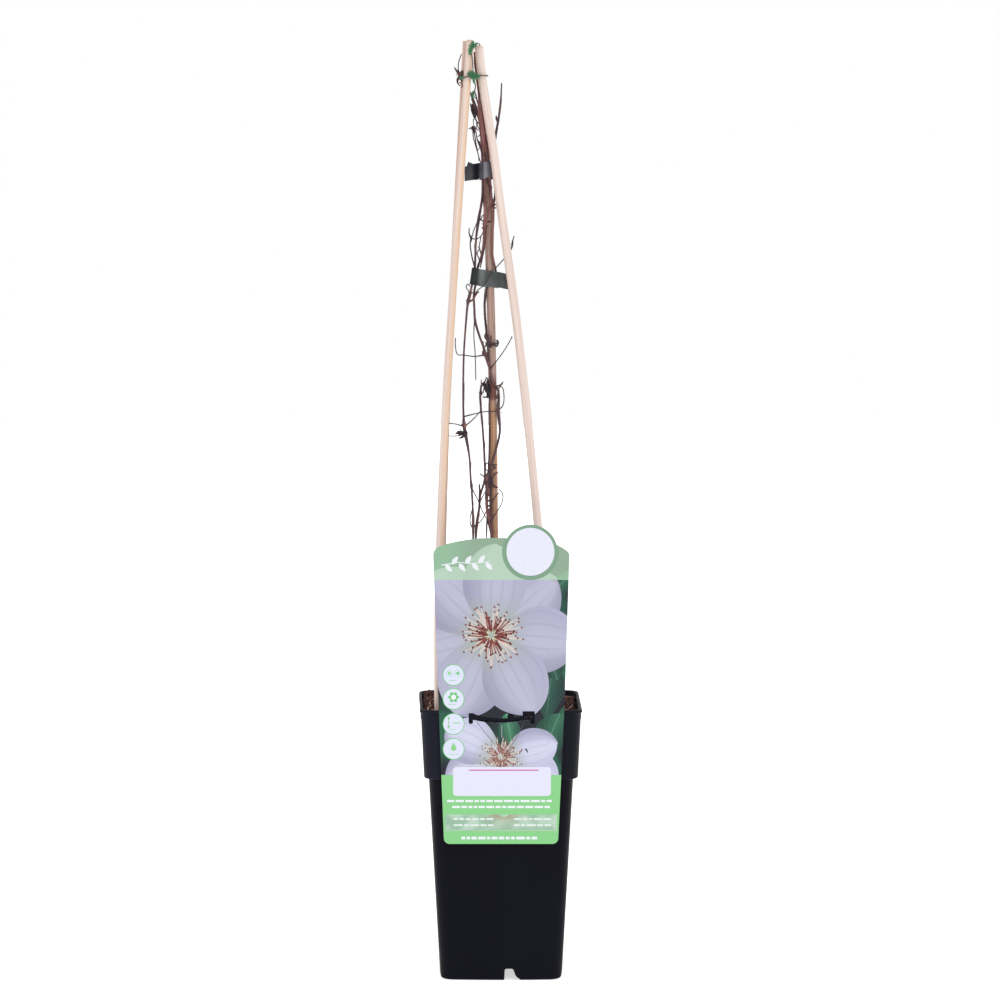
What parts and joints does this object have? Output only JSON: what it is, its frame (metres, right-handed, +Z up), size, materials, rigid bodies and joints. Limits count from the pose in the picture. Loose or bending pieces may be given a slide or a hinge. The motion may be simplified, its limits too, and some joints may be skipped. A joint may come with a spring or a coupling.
{
  "type": "potted climbing plant on a cane tripod",
  "caption": "Leafless clematis in winter rest, tied to canes that meet in a tripod, in a tall square nursery pot with a hanging card label.",
  "frame": {"origin": "middle of the pot's base, on the surface that it stands on", "axes": "+Z up along the canes, -Y to the front where the label hangs, +X to the right seen from the front"},
  "size_m": [0.1307, 0.1281, 0.7402],
  "materials": {
    "pot_plastic": "satin",
    "soil": "crumbly peat and fibre",
    "label_card": "printed card with a soft gloss",
    "pale_cane": "smooth bare wood",
    "brown_bamboo": "aged bamboo",
    "stem_bark": "dry fibrous bark",
    "tie_tape": "thin soft plastic",
    "twine": "fuzzy twisted twine"
  },
  "bodies": {
    "root": {"pot": "pot_plastic", "soil": "soil", "label": "label_card", "cane_front_left": "pale_cane", "cane_back_left": "pale_cane", "cane_right": "pale_cane", "cane_centre": "brown_bamboo", "stem_outer": "stem_bark", "stem_main": "stem_bark", "stem_side": "stem_bark", "stem_back": "stem_bark", "tape_upper": "tie_tape", "tape_lower": "tie_tape", "twine_tie": "twine"}
  },
  "joints": []
}
